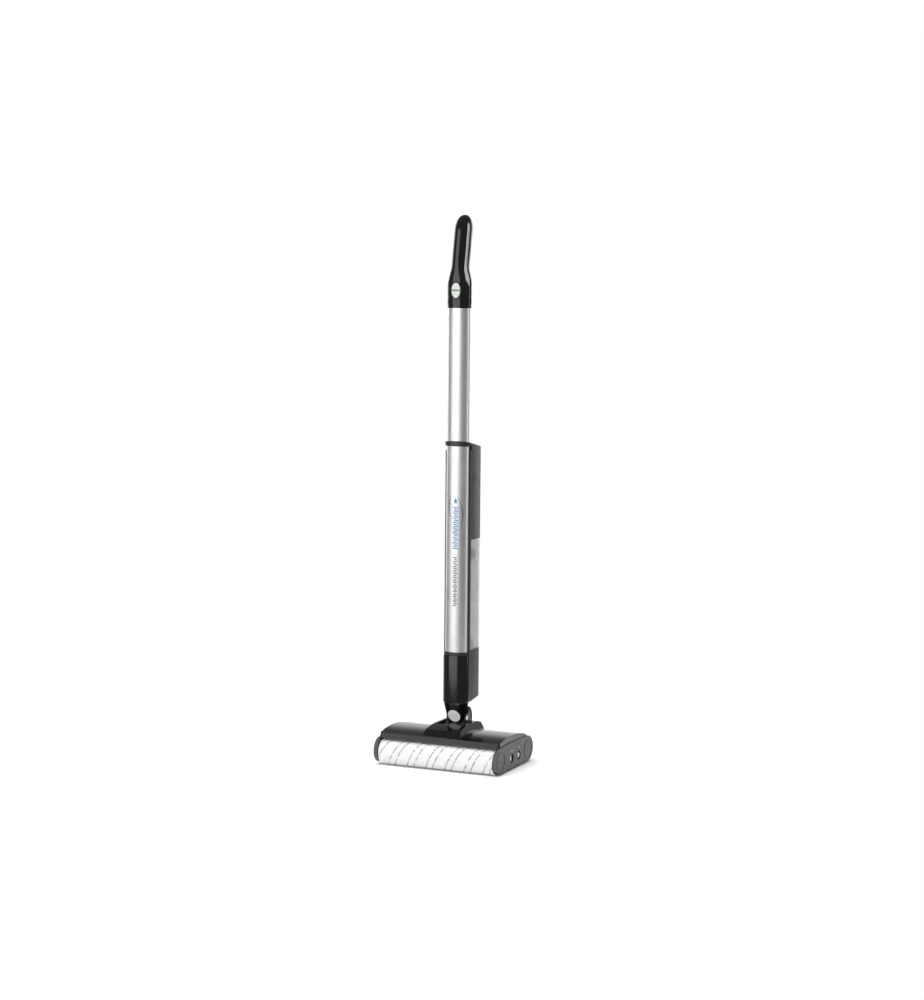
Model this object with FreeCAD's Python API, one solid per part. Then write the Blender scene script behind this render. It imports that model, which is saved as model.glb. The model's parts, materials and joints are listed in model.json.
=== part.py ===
"""Cordless wet and dry floor scrubber: twin counter-rotating mop rollers in a floor head, a two-axis neck,
and a stick that carries the pump, the fresh water tank, the battery and the handle.

Frame: millimetres, +Z up, origin on the floor below the middle of the head. +X is the width, left to right,
with the drawer on the +X end, and -Y is the front. The stick is drawn upright in its own frame, then moved
to the neck and leaned back by the parking angle.
"""
import FreeCAD
import Part
import math
import os
from FreeCAD import Vector

# ---------------------------------------------------------------- driving dimensions
head_width = 295.0          # over both end caps
roller_pitch = 144.0        # between the two roller axes
roller_radius = 28.0        # outside of the microfibre sleeve
core_radius = 19.5          # outside of the roller tube
core_wall = 2.5
cover_crown = 76.3          # highest point of the head cover
cover_wall = 2.5
cap_radius = 28.0           # rounded ends of the end caps
cap_ground_gap = 3.6
cap_wall = 2.5
cap_depth_left = 9.0
cap_depth_right = 8.0
well_margin = 30.0          # from a roller axis to the wall of the centre well
tub_wall = 2.0
tub_floor_z = 5.0
hood_gap = 2.2              # between the roller sleeves and the hoods over them
gear_teeth = 24
gear_count = 6              # roller gear, four in between, roller gear
gear_width = 3.5
axle_radius = 2.5           # idler pins
motor_radius = 16.0
motor_length = 68.0

swivel_height = 68.5        # side-to-side axis, along Y
swivel_pin_radius = 4.0
barrel_radius = 20.0
tilt_height = 98.0          # fore-and-aft axis, along X
tilt_pin_radius = 5.0
ear_radius = 27.0
ear_inner = 16.0            # inner face of the yoke ears, from the middle
ear_outer = 23.0
tilt_pin_offset = 9.0       # tilt axis behind the stick axis
stick_offset = 11.0         # stick axis behind the middle of the head
park_lean = 1.2             # degrees, backwards

body_half_width = 30.5      # tank, battery and lower housing
body_rear = 68.0            # rear of the tank, from the stick axis
body_wall = 2.2
spine_front = 0.3
spine_back = 5.0
panel_half_width = 26.5
panel_depth = 17.0
panel_wall = 1.5
panel_foot = 3.7            # the panel starts this far below the tank
panel_head = 9.3            # and ends this far above the battery
lower_bottom = 135.0        # lower housing, at its front edge
lower_length = 114.7        # lower housing, down to its rear edge
tank_length = 243.4
tank_wall = 2.0
battery_length = 195.4
cell_radius = 9.0
cell_length = 66.0
cell_pitch = 18.4
cell_step = 74.0            # from one layer of cells to the next
seam = 0.6                  # between the housings stacked on the spine
cap_rise = 17.3             # top cap above the battery, at the stick axis
cap_slope = 0.2             # fall towards the rear
tube_half_width = 25.8
tube_half_depth = 16.4
tube_wall = 1.6
pole_length = 292.0         # bare tube between the top cap and the handle
handle_half_width = 27.8
handle_half_depth = 18.2
handle_length = 201.6
handle_wall = 2.4
filler_drop = 38.7          # filler below the top of the tank
filler_radius = 13.0
lamp_radius = 15.0
lamp_height = 104.0
lamp_down = 22.0            # degrees
jack_radius = 2.75
jack_depth = 9.5
jack_rise = 43.0            # charging socket above the bottom of the lower housing
screw_head_radius = 3.0

slack = 0.3                 # between pieces that are fitted together
running = 0.05              # between a pin and its bore
backlash = 0.14
cap_crown = 2.3             # rise of the top edge of the end caps
cap_ring = 21.0             # raised ring round each roller's place
slot_step = 47.0            # suction slots in the wall of the well
slot_length = 42.0
pedestal_half = 9.0         # swivel pin carriers
pedestal_width = 6.0
arch_front = 69.0           # height of the front edge of the cover
arch_rear = 68.2
deck_margin_front = 6.0     # from a roller axis in to the edge of the deck
deck_margin_rear = 12.0
window_half = 34.0          # half-width of the opening in the cover
journal_radius = 5.0        # driven end of a roller
stub_radius = 4.0           # carried end of a roller
shaft_radius = 2.5
motor_index = 3
motor_wall = -62.0          # end of the motor room, start of the tray room
spray_margin = 20.0         # from a roller axis in to its spray bar
tray_floor_z = 12.5         # above the catches of the drawer
catch_places = (-17.0, 26.0)
recess_places = (-13.5, 23.0)
recess_z = 26.0
recess_radius = 9.8
tab_travel = 3.5
tongue_radius = 11.0
skirt_half = 29.5           # dust skirt of the neck, inside the saddle
nose_half = 23.0            # half-width of the lower housing at its bottom
nose_bottom = 93.5
collar_length = 8.0
lamp_front = -9.6
led_ring = 8.2
nipple_radius = 3.5
body_corner = 19.0
latch_drop = 21.7           # battery latch below the top of the battery
latch_travel = 2.0
handle_bend_rise = 57.0     # bend above the bottom of the handle
grip_half_width = 19.0
grip_half_depth = 23.0
grip_lean = 10.5            # degrees, backwards from the stick
tube_overlap = 15.0         # of the pole inside the handle
button_rise = 38.0          # button above the bottom of the handle
button_half = (10.2, 16.4)
bezel_half = (12.6, 19.4)
press_travel = 1.2

# ---------------------------------------------------------------- derived places
half_width = head_width / 2
lower_top = lower_bottom + lower_length
tank_bottom = lower_top + seam
tank_top = tank_bottom + tank_length
battery_bottom = tank_top + seam
battery_top = battery_bottom + battery_length
cap_top = battery_top + cap_rise
panel_bottom = lower_top - panel_foot
panel_top = battery_top + panel_head
collar_bottom = panel_bottom - collar_length
handle_bottom = cap_top + pole_length
handle_top = handle_bottom + handle_length
handle_bend = handle_bottom + handle_bend_rise
tube_end = handle_bottom + tube_overlap
button_z = handle_bottom + button_rise
filler_height = tank_top - filler_drop
latch_z = battery_top - latch_drop
jack_height = lower_bottom + jack_rise
tray_right = half_width - 20.5
catch_x = half_width - 16.5     # catches of the drawer, on the floor of the well
tooth_x = half_width - 19.5
roller_y = roller_pitch / 2
front_edge = roller_y           # front edge of the cover, from the middle
tub_half_depth = roller_y - well_margin
tray_half = tub_half_depth - 5.0
deck_front = roller_y - deck_margin_front
deck_rear = roller_y - deck_margin_rear
spray_y = roller_y - spray_margin
roller_z = roller_radius
cap_z = cap_radius + cap_ground_gap
hood_z = 2 * roller_radius + hood_gap
hood_top = hood_z + tub_wall
plate_out = -half_width + cap_depth_left - tub_wall     # outer face of the gear plate
plate_in = plate_out + tub_wall
right_in = half_width - cap_depth_right
sleeve_left = plate_in + 1.0
sleeve_right = right_in - 1.0
gear_module = roller_pitch / ((gear_count - 1) * gear_teeth)
gear_x = -half_width + cap_wall + 0.5
gear_axes = [-roller_y + i * gear_module * gear_teeth for i in range(gear_count)]
tilt_y = stick_offset + tilt_pin_offset
barrel_front, barrel_back = -20.0, tilt_y + ear_radius
lug_radius = 7.2
barrel_cut = 3.0            # the barrel sector starts this far above its axis
saddle_window = 32.5        # half-width of the opening round the neck
saddle_half = 46.5
saddle_top = 90.0
cover_side = half_width - 3.0
cover_low = hood_top + slack
well_right = right_in - 0.5
nozzle_places = [sleeve_left + 24 + i * 32.0 for i in range(8)]
lamp_axis = (0, -math.cos(math.radians(lamp_down)), -math.sin(math.radians(lamp_down)))

made = {}


# ---------------------------------------------------------------- small helpers
def block(x0, x1, y0, y1, z0, z1):
    return Part.makeBox(x1 - x0, y1 - y0, z1 - z0, Vector(x0, y0, z0))


def rod(point, direction, radius, length):
    return Part.makeCylinder(radius, length, Vector(*point), Vector(*direction))


def tube(point, direction, outer, inner, length):
    return rod(point, direction, outer, length).cut(rod(point, direction, inner, length))


def fused(shapes):
    out = shapes[0]
    for s in shapes[1:]:
        out = out.fuse(s)
    return out.removeSplitter()


def outline(steps, place):
    """A closed wire from points and arcs. A step is a point, or (middle, end) of an arc."""
    edges, here = [], steps[0]
    for step in steps[1:] + [steps[0]]:
        if isinstance(step[0], tuple):
            edges.append(Part.Arc(place(here), place(step[0]), place(step[1])).toShape())
            here = step[1]
        elif math.dist(here, step) > 1e-6:
            edges.append(Part.LineSegment(place(here), place(step)).toShape())
            here = step
    return Part.Wire(edges)


def side_prism(steps, x0, x1):
    """Extrudes an outline given as (y, z) from x0 to x1."""
    face = Part.Face(outline(steps, lambda p: Vector(x0, p[0], p[1])))
    return face.extrude(Vector(x1 - x0, 0, 0))


def plan_prism(steps, z0, z1):
    """Extrudes an outline given as (x, y) from z0 to z1."""
    face = Part.Face(outline(steps, lambda p: Vector(p[0], p[1], z0)))
    return face.extrude(Vector(0, 0, z1 - z0))


def front_prism(steps, y0, y1):
    """Extrudes an outline given as (x, z) from y0 to y1."""
    face = Part.Face(outline(steps, lambda p: Vector(p[0], y0, p[1])))
    return face.extrude(Vector(0, y1 - y0, 0))


def oval(half_x, half_y, z, y=0.0):
    """A closed ellipse at height z; the larger radius comes first for the kernel."""
    if half_x >= half_y:
        e = Part.Ellipse(Vector(half_x, y, z), Vector(0, y + half_y, z), Vector(0, y, z))
    else:
        e = Part.Ellipse(Vector(0, y + half_y, z), Vector(half_x, y, z), Vector(0, y, z))
    return Part.Wire([e.toShape()])


def mirrored(shape):
    return shape.mirror(Vector(0, 0, 0), Vector(1, 0, 0))


def on_stick(shape):
    """Moves a shape from the upright stick frame to its place on the neck."""
    out = shape.copy()
    out.translate(Vector(0, stick_offset, 0))
    out.rotate(Vector(0, tilt_y, tilt_height), Vector(1, 0, 0), -park_lean)
    return out


def save(name, *shapes):
    solids = [s for shape in shapes for s in shape.Solids]
    whole = solids[0] if len(solids) == 1 else Part.makeCompound(solids)
    if not solids or not whole.isValid():
        print("PROBLEM", name, "solids", len(solids), "valid", whole.isValid())
    made[name] = whole


def save_stick(name, *shapes):
    save(name, *[on_stick(s) for s in shapes])


def cap_steps(grow):
    """Side outline of an end cap, grown outwards by grow: two round ends and a crowned top."""
    r = cap_radius + grow
    low, high = cap_z - r, cap_z + r
    return [(-roller_y, low), (roller_y, low), ((roller_y + r, cap_z), (roller_y, high)),
            ((0, high + cap_crown), (-roller_y, high)), ((-roller_y - r, cap_z), (-roller_y, low))]


def arch_steps(rise, low):
    """Side outline of the head cover, raised by rise: front edge, crown, rear fall and the rear lip."""
    y = roller_y
    return [(-front_edge - rise, arch_front + rise), ((-8, cover_crown + rise), (y - 17.5, arch_rear + rise)),
            ((y - 6 + rise, 64.0 + rise), (y + 3.0 + rise, 57.2)), (y - 0.8, 58.6), (y - 3.6, low),
            (-front_edge - rise, low)]


def hollow_steps():
    """Side outline of the room under the cover."""
    y, t = roller_y, cover_wall
    return [(-front_edge + t, arch_front - t), ((-8, cover_crown - t), (y - 17.5 - 0.3 * t, arch_rear - t)),
            ((y - 9.5, 62.7), (y - 3.6, 59.0)), (y - 3.6, 50), (-front_edge + t, 50)]


def gear(phase, axis_y):
    """Involute spur gear on an axis along X, with a little backlash."""
    rp = gear_module * gear_teeth / 2
    rb = rp * math.cos(math.radians(20))
    radii = [rp - 1.2 * gear_module, rb, (rb + rp) / 2, rp, rp + 0.5 * gear_module, rp + 0.94 * gear_module]
    half = math.pi / (2 * gear_teeth) - backlash / (2 * rp)
    flank = []
    for r in radii:
        a = math.acos(min(1.0, rb / r))
        flank.append((r, half + math.tan(math.radians(20)) - math.radians(20) - math.tan(a) + a))
    points = []
    for i in range(gear_teeth):
        mid = math.radians(phase) + 2 * math.pi * i / gear_teeth
        both = [(r, mid - t) for r, t in flank] + [(r, mid + t) for r, t in reversed(flank)]
        points += [(axis_y + r * math.cos(a), roller_z + r * math.sin(a)) for r, a in both]
    return side_prism(points, gear_x, gear_x + gear_width)


def rear_steps(grow, y0):
    """Plan outline behind the spine: gently bowed sides, round corners, bowed back."""
    w, rear, c = body_half_width + grow, body_rear + grow, body_corner
    mid = (y0 + rear - c) / 2
    return [(-w + 0.8, y0), ((-w, mid), (-w + 0.8, rear - c)), ((-w + 5.9, rear - 6.4), (-w + c, rear - 1.5)),
            ((0, rear), (w - c, rear - 1.5)), ((w - 5.9, rear - 6.4), (w - 0.8, rear - c)),
            ((w, mid), (w - 0.8, y0))]


def column(half_x, half_y, z0, z1, y=0.0):
    return Part.Face(oval(half_x, half_y, z0, y)).extrude(Vector(0, 0, z1 - z0))


def front_half(half_x, half_y, z0, z1):
    """The part of an oval column in front of the spine."""
    return column(half_x, half_y, z0, z1).cut(block(-60, 60, 0, 60, z0 - 1, z1 + 1))


def ring(half_x, half_y, y, z, count=24):
    """A closed smooth oval that always starts at +X, so that ovals of any aspect can be lofted."""
    points = []
    for i in range(count):
        a = 2 * math.pi * i / count
        points.append(Vector(half_x * math.cos(a), y + half_y * math.sin(a), z))
    curve = Part.BSplineCurve()
    curve.interpolate(points, PeriodicFlag=True)
    return Part.Wire([curve.toShape()])


def ring_column(half_x, half_y, z0, z1, y=0.0):
    return Part.Face(ring(half_x, half_y, y, z0)).extrude(Vector(0, 0, z1 - z0))


def facing(half_x, half_z, z, y0, y1):
    """An oval plug on the front of the handle, between y0 and y1."""
    e = Part.Ellipse(Vector(0, y0, z + half_z), Vector(half_x, y0, z), Vector(0, y0, z))
    return Part.Face(Part.Wire([e.toShape()])).extrude(Vector(0, y1 - y0, 0))


# ---------------------------------------------------------------- head: chassis and shells
def head_chassis():
    wall_out, wall_in = tub_half_depth, tub_half_depth - tub_wall
    well = block(plate_in, well_right, -wall_out, wall_out, tub_floor_z, hood_top)
    well = well.cut(block(plate_in - 1, well_right + 1, -wall_in, wall_in, tub_floor_z + tub_wall, hood_z))
    deck = block(plate_in, well_right, -deck_front, deck_rear, hood_z, hood_top)
    plate = side_prism(cap_steps(-cap_wall - slack), plate_out, plate_in)
    body = fused([well, deck, plate])
    for side in (-1, 1):
        y0 = side * (tub_half_depth - 1) - 3
        for i in range(4):
            x0 = motor_wall + 4 + i * slot_step
            body = body.cut(block(x0, x0 + slot_length, y0, y0 + 6, 46.2, 54))
        for x in nozzle_places:
            body = body.cut(rod((x, side * spray_y, hood_z - 1), (0, 0, 1), 1.6, 5))
        body = body.cut(rod((plate_out - 1, side * roller_y, roller_z), (1, 0, 0),
                            journal_radius + running, 5))
    divider = block(motor_wall - tub_wall, motor_wall, -wall_in, wall_in, tub_floor_z, hood_z + 0.5)
    parts = [body, divider]
    motor_axis = gear_axes[motor_index]
    for y in gear_axes[1:-1]:
        if y != motor_axis:
            parts.append(rod((gear_x + 0.2, y, roller_z), (1, 0, 0), axle_radius, plate_in - gear_x - 0.2))
    for y0 in (barrel_front - 2.5 - pedestal_width, barrel_back + 2.5):
        pedestal = block(-pedestal_half, pedestal_half, y0, y0 + pedestal_width, hood_z + 0.5, swivel_height)
        parts.append(pedestal.fuse(rod((0, y0, swivel_height), (0, 1, 0), 7.0, pedestal_width)))
    for tooth_y in catch_places:
        parts.append(block(catch_x, catch_x + 2.0, tooth_y - 1.5, tooth_y + 1.5, tub_floor_z + 1, 12.0))
    body = fused(parts)
    body = body.cut(rod((0, -60, swivel_height), (0, 1, 0), swivel_pin_radius + running, 140))
    body = body.cut(rod((plate_out - 1, motor_axis, roller_z), (1, 0, 0), 6.0, 4))
    save("head_chassis", body)


def head_shells():
    shell = side_prism(arch_steps(0, cover_low), -cover_side, cover_side)
    hollow = side_prism(hollow_steps(), -cover_side + cover_wall, cover_side - cover_wall)
    shell = shell.cut(hollow)
    for x0, x1 in ((-half_width - 2, plate_in + 1.5), (right_in - 1.0, half_width + 2)):
        shell = shell.cut(side_prism(cap_steps(slack), x0, x1))
    window = block(-window_half, window_half, barrel_front - 12, barrel_back + 8.8, 50, 90)
    shell = shell.cut(window)
    save("head_cover", shell)

    rear_y = -front_edge - slack
    lip = [(rear_y, arch_front), (-roller_y - 13.5, 60.6), (-roller_y - 12.9, 59.0), (rear_y, 62.6)]
    save("front_bumper", side_prism(lip, -cover_side + 3, cover_side - 3))

    cap = side_prism(cap_steps(0), -half_width, plate_in)
    cap = cap.cut(side_prism(cap_steps(-cap_wall), -half_width + cap_wall, plate_in + 1))
    for y in (-roller_y, roller_y):
        cap = cap.fuse(tube((-half_width, y, roller_z + 1), (1, 0, 0), cap_ring, cap_ring - 1.4, 1.0))
    cap = cap.cut(rod((-half_width + 0.0, 0, cap_z), (1, 0, 0), 0.9, 0.6))
    save("left_end_cap", cap.removeSplitter())

    from_side = [(-64, 64), (-62.5, 71), (-53.5, 82), (-34, 87), (-14, saddle_top), (36, saddle_top),
                 (55, 85), (60, 66)]
    right_edge = [(saddle_half, 66), (saddle_half - 0.7, 71), (41.5, 83), (38.5, saddle_top)]
    left_edge = [(-x, z) for x, z in reversed(right_edge)]
    saddle = side_prism(from_side, -60, 60).common(front_prism(right_edge + left_edge, -70, 70))
    inner = block(-saddle_window, saddle_window, barrel_front - 2.2, barrel_back + 1.5, 60, 95)
    low = block(-window_half, window_half, barrel_front - 11, barrel_back + 8.8, 60, 76.6)
    saddle = saddle.cut(inner).cut(low)
    saddle = saddle.cut(side_prism(arch_steps(slack, 40), -60, 60))
    save("saddle", saddle)
    save("swivel_pin", rod((0, barrel_front - 8.5, swivel_height), (0, 1, 0), swivel_pin_radius,
                           barrel_back - barrel_front + 17.0))


def head_inside():
    y = gear_axes[motor_index]
    x1 = plate_in + slack + motor_length
    can = rod((plate_in + slack, y, roller_z), (1, 0, 0), motor_radius, motor_length)
    can = can.fuse(rod((x1, y, roller_z), (1, 0, 0), 6.0, 2.0))
    shaft_bore = rod((plate_in, y, roller_z), (1, 0, 0), shaft_radius + running, 12)
    save("drive_motor", can.cut(shaft_bore))
    for side, name in ((-1, "front"), (1, "rear")):
        reach = roller_y - math.sqrt(roller_radius ** 2 - (43.0 - roller_z) ** 2) - slack
        blade = block(motor_wall, sleeve_right, tub_half_depth + 0.1, reach, 43.0, 45.0)
        blade = blade if side > 0 else blade.mirror(Vector(0, 0, 0), Vector(0, 1, 0))
        save(name + "_wringer_bar", blade)
        reach = sleeve_right - sleeve_left - 16
        bar = rod((sleeve_left + 8, side * spray_y, hood_top + 2.5), (1, 0, 0), 2.2, reach)
        for x in nozzle_places:
            bar = bar.fuse(rod((x, side * spray_y, hood_z - 0.5), (0, 0, 1), 1.2, 4.5))
        if side > 0:
            bar = bar.cut(block(-10.5, 10.5, 0, 90, 0, 90))
        save(name + "_spray_bar", bar.removeSplitter())


# ---------------------------------------------------------------- head: rollers and gears
def rollers():
    length = sleeve_right - sleeve_left
    for side, name in ((-1, "front"), (1, "rear")):
        y = side * roller_y
        core = tube((sleeve_left, y, roller_z), (1, 0, 0), core_radius, core_radius - core_wall, length)
        core = core.fuse(rod((sleeve_left, y, roller_z), (1, 0, 0), core_radius - 1, 6))
        core = core.fuse(rod((sleeve_right - 13, y, roller_z), (1, 0, 0), core_radius - 1, 13))
        core = core.fuse(rod((gear_x, y, roller_z), (1, 0, 0), journal_radius, sleeve_left - gear_x + 2))
        core = core.cut(rod((sleeve_right - 14, y, roller_z), (1, 0, 0), stub_radius + running, 20))
        save(name + "_roller_core", core.removeSplitter())
        save(name + "_roller_sleeve", tube((sleeve_left, y, roller_z), (1, 0, 0), roller_radius,
                                           core_radius + running, length))
        save(name + "_stub_pin", rod((sleeve_right - 12, y, roller_z), (1, 0, 0), stub_radius,
                                     half_width - cap_wall - sleeve_right + 12))
    names = ["front_roller_gear", "idler_gear_a", "idler_gear_b", "motor_gear", "idler_gear_c",
             "rear_roller_gear"]
    for i, name in enumerate(names):
        wheel = gear(0 if i % 2 == 0 else 180 / gear_teeth, gear_axes[i])
        bore = axle_radius + running
        if i in (0, gear_count - 1):
            bore = journal_radius + running
        if i == motor_index:
            bore = shaft_radius
        wheel = wheel.cut(rod((gear_x - 1, gear_axes[i], roller_z), (1, 0, 0), bore, gear_width + 2))
        if i == motor_index:
            shaft = rod((gear_x, gear_axes[i], roller_z), (1, 0, 0), shaft_radius, gear_width + 14)
            wheel = wheel.fuse(shaft)
        save(name, wheel.removeSplitter())


# ---------------------------------------------------------------- drawer with the dirty water tray
def drawer():
    face_x = half_width - 0.8
    cap = side_prism(cap_steps(0), right_in, face_x)
    cap = cap.cut(side_prism(cap_steps(-cap_wall), right_in - 1, face_x - cap_wall))
    posts = []
    for y in (-roller_y, roller_y):
        posts.append(rod((right_in, y, roller_z), (1, 0, 0), stub_radius + 4, face_x - right_in))
        posts.append(tube((face_x - 1, y, roller_z + 1), (1, 0, 0), cap_ring, cap_ring - 1.4, 1.8))
        posts.append(rod((face_x - 1, y, roller_z + 1), (1, 0, 0), 2.4, 1.6))
    for y in recess_places:
        posts.append(rod((right_in, y, recess_z), (1, 0, 0), recess_radius + 1.5, face_x - right_in))
    for side in (-1, 1):
        mid = side * (tray_half - 1)
        posts.append(block(right_in, face_x - 1, mid - 1, mid + 1, 12, 46))
    cap = fused([cap] + posts)
    for y in (-roller_y, roller_y):
        cap = cap.cut(rod((right_in - 1, y, roller_z), (1, 0, 0), stub_radius + running,
                          half_width - cap_wall - right_in + 1))
    for y in recess_places:
        cap = cap.cut(rod((right_in + 1.5, y, recess_z), (1, 0, 0), recess_radius, 20))
        cap = cap.cut(block(right_in - 1, right_in + 3, y - 6.5, y + 6.5, 19, 26))
    save("drawer_end_cap", cap)

    tray = block(motor_wall + 1.5, tray_right, -tray_half, tray_half, tray_floor_z, 44)
    room_y = tray_half - 2
    tray = tray.cut(block(motor_wall + 3.5, tray_right - 2, -room_y, room_y, tray_floor_z + 2, 50))
    room = (tray_right - motor_wall - 3) / 3
    for i in range(1, 3):
        x = motor_wall + i * room
        tray = tray.fuse(block(x, x + 1.6, -tray_half + 1, tray_half - 1, tray_floor_z + 1, 30))
    for side in (-1, 1):
        mid = side * (tray_half - 1)
        tray = tray.fuse(block(tray_right - 2, right_in - 0.1, mid - 1, mid + 1, 12, 44))
    save("dirty_water_tray", tray.removeSplitter())

    for i, name in enumerate(("front_release_tab", "rear_release_tab")):
        y, inward = recess_places[i], (1, -1)[i]
        disc = rod((right_in + 2.6, y, recess_z), (1, 0, 0), recess_radius - slack - tab_travel, 3.0)
        keep = block(right_in, half_width, y - 10, y + 10, recess_z - 10, recess_z + 10)
        keep.translate(Vector(0, -inward * 10.5, 0))
        pad = disc.common(keep)
        stem_y = catch_places[i]
        stem = block(tooth_x, right_in + 3.6, stem_y - 1.5, stem_y + 1.5, 20.2, 24.8)
        stem = stem.fuse(block(tooth_x, tooth_x + 2.6, stem_y - 1.5, stem_y + 1.5, 8.4, 24.8))
        save(name, pad.fuse(stem).removeSplitter())


# ---------------------------------------------------------------- neck
def wedge_from_pin(y, start, end):
    """Everything seen from the tilt pin between two angles, in degrees up from the rear."""
    steps = [(y, tilt_height)]
    for i in range(5):
        a = math.radians(start + (end - start) * i / 4)
        steps.append((y + 90 * math.cos(a), tilt_height + 90 * math.sin(a)))
    return side_prism(steps, -60, 60)


def neck():
    axis = (0, barrel_front, swivel_height)
    barrel = rod(axis, (0, 1, 0), barrel_radius, barrel_back - barrel_front)
    barrel = barrel.cut(block(-40, 40, -60, 90, 0, swivel_height + barrel_cut))
    ends = [rod((0, y, swivel_height), (0, 1, 0), lug_radius, 6.5) for y in (barrel_front, barrel_back - 6.5)]
    ears = []
    for x0 in (-ear_outer, ear_inner):
        disc = rod((x0, tilt_y, tilt_height), (1, 0, 0), ear_radius, ear_outer - ear_inner)
        nose = wedge_from_pin(tilt_y, 62, 215).cut(rod((-50, tilt_y, tilt_height), (1, 0, 0), 9.5, 100))
        ears.append(disc.cut(nose).cut(block(-40, 40, -60, barrel_front, 0, 200)))
    top = swivel_height + barrel_radius
    skirt = [(-skirt_half, top - 11.6), (-skirt_half, top - 9.8), (-12, top - 1.6), (12, top - 1.6),
             (skirt_half, top - 9.8), (skirt_half, top - 11.6), (12, top - 5), (-12, top - 5)]
    body = fused([barrel, front_prism(skirt, barrel_front, barrel_back)] + ends + ears)
    body = body.cut(rod((0, -60, swivel_height), (0, 1, 0), swivel_pin_radius + running, 140))
    body = body.cut(rod((-ear_inner, tilt_y, tilt_height), (1, 0, 0), tongue_radius + 1, 2 * ear_inner))
    body = body.cut(rod((-50, tilt_y, tilt_height), (1, 0, 0), tilt_pin_radius + running, 100))
    hollow = block(-12, 12, barrel_front + 9, barrel_back - 9, 60, swivel_height + 12)
    body = body.cut(hollow)
    body = body.cut(block(-60, 60, -60, 90, 0, swivel_height - lug_radius - 0.1))
    for x0 in (-ear_outer - 1, ear_outer - 1.6):
        groove = tube((x0, tilt_y, tilt_height), (1, 0, 0), ear_radius - 3.0, ear_radius - 6.5, 2.6)
        body = body.cut(groove.cut(block(-50, 50, -60, tilt_y + 8, 0, 200)))
    save("neck_yoke", body)
    pin = rod((-ear_outer, tilt_y, tilt_height), (1, 0, 0), tilt_pin_radius, 2 * ear_outer)
    save("tilt_pin", pin)


# ---------------------------------------------------------------- stick: frame and front
def swept_by_ears(x0, x1):
    """Room for the ears of the yoke while the stick tilts back, in the stick frame."""
    zone = rod((x0, tilt_pin_offset, tilt_height), (1, 0, 0), ear_radius + 0.8, x1 - x0)
    zone = zone.cut(wedge_from_pin(tilt_pin_offset, 124, 214))
    return zone.fuse(rod((x0, tilt_pin_offset, tilt_height), (1, 0, 0), 10.2, x1 - x0))


def stick_frame():
    plate = block(-body_half_width, body_half_width, spine_front, spine_back, 138, battery_top)
    ribs = []
    for x in (-18, 18):
        ribs.append(block(x - 1.2, x + 1.2, -8, spine_front + 1, tank_bottom + 50, battery_top - 30))
    tongue_half = ear_inner - slack
    tongue = rod((-tongue_half, tilt_pin_offset, tilt_height), (1, 0, 0), tongue_radius, 2 * tongue_half)
    web = block(-tongue_half, tongue_half, 1.5, 16.0, tilt_height, 150)
    foot = block(-24, 24, spine_front, 16.0, 138, 150)
    out_x = tube_half_width - tube_wall - slack
    out_y = tube_half_depth - tube_wall - slack
    spigot = column(out_x, out_y, battery_top - 22, cap_top + 60)
    spigot = spigot.cut(column(out_x - 3, out_y - 3, battery_top - 30, cap_top + 70))
    spigot = spigot.cut(block(-60, 60, spine_back, 60, battery_top - 90, cap_top - 16))
    body = fused([plate, tongue, web, foot, spigot] + ribs)
    body = body.cut(rod((-60, tilt_pin_offset, tilt_height), (1, 0, 0), tilt_pin_radius + running, 120))
    body = body.cut(rod((0, -5, tank_bottom + 18), (0, 1, 0), 4.6, 20))
    for x in (-1, 1):
        body = body.cut(block(x * 9 - 3, x * 9 + 3, spine_front - 1, spine_back + 1,
                              battery_bottom + 26, battery_bottom + 46))
    save_stick("spine_frame", body)


def stick_front():
    inner_w, inner_d = panel_half_width - panel_wall, panel_depth - panel_wall
    panel = front_half(panel_half_width, panel_depth, panel_bottom, panel_top)
    panel = panel.cut(column(inner_w, inner_d, panel_bottom - 1, panel_top + 1))
    save_stick("front_panel", panel)

    band = front_half(body_half_width - 1.5, panel_depth + 0.6, collar_bottom + slack, panel_bottom - slack)
    band = band.cut(column(inner_w, inner_d, 200, 300))
    save_stick("lower_collar", band)

    w, d = body_half_width, panel_depth + 1.0
    shell = ring_column(w, d, lower_bottom, collar_bottom)
    taper = Part.makeLoft([ring(w, d, 0, lower_bottom), ring(nose_half, 13, 7, nose_bottom)], True, True)
    low = shell.fuse(taper)
    w2, d2 = w - body_wall, d - body_wall
    room = ring_column(w2, d2, lower_bottom, collar_bottom - 2)
    nose_room = [ring(w2, d2, 0, lower_bottom),
                 ring(nose_half - body_wall, 13 - body_wall, 7, nose_bottom - 1)]
    room = room.fuse(Part.makeLoft(nose_room, True, True))
    low = low.cut(room).cut(block(-60, 60, 0, 60, 0, 300))
    for x0, x1 in ((-ear_outer - 1.0, -ear_inner + 0.3), (ear_inner - 0.3, ear_outer + 1.0)):
        low = low.cut(swept_by_ears(x0, x1))
    low = low.cut(rod(lamp_point(-7), lamp_axis, lamp_radius, 40))
    low = low.cut(column(14, 9, collar_bottom - 4, collar_bottom + 2))
    rim = tube(lamp_point(-2.8), lamp_axis, lamp_radius + 1.6, lamp_radius, 3.6)
    save_stick("lower_front_housing", fused([low, rim]))

    save_stick("lamp_lens", rod(lamp_point(-1.1), lamp_axis, lamp_radius - slack, 1.6))
    board = rod(lamp_point(-3.6), lamp_axis, lamp_radius - slack, 1.2)
    leds = [rod(lamp_point(-2.6, a), lamp_axis, 1.9, 0.9) for a in range(0, 360, 60)]
    ring_wall = tube(lamp_point(-2.6), lamp_axis, lamp_radius - slack, lamp_radius - 2.6, 1.2)
    save_stick("lamp_board", fused([board, ring_wall] + leds))


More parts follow.
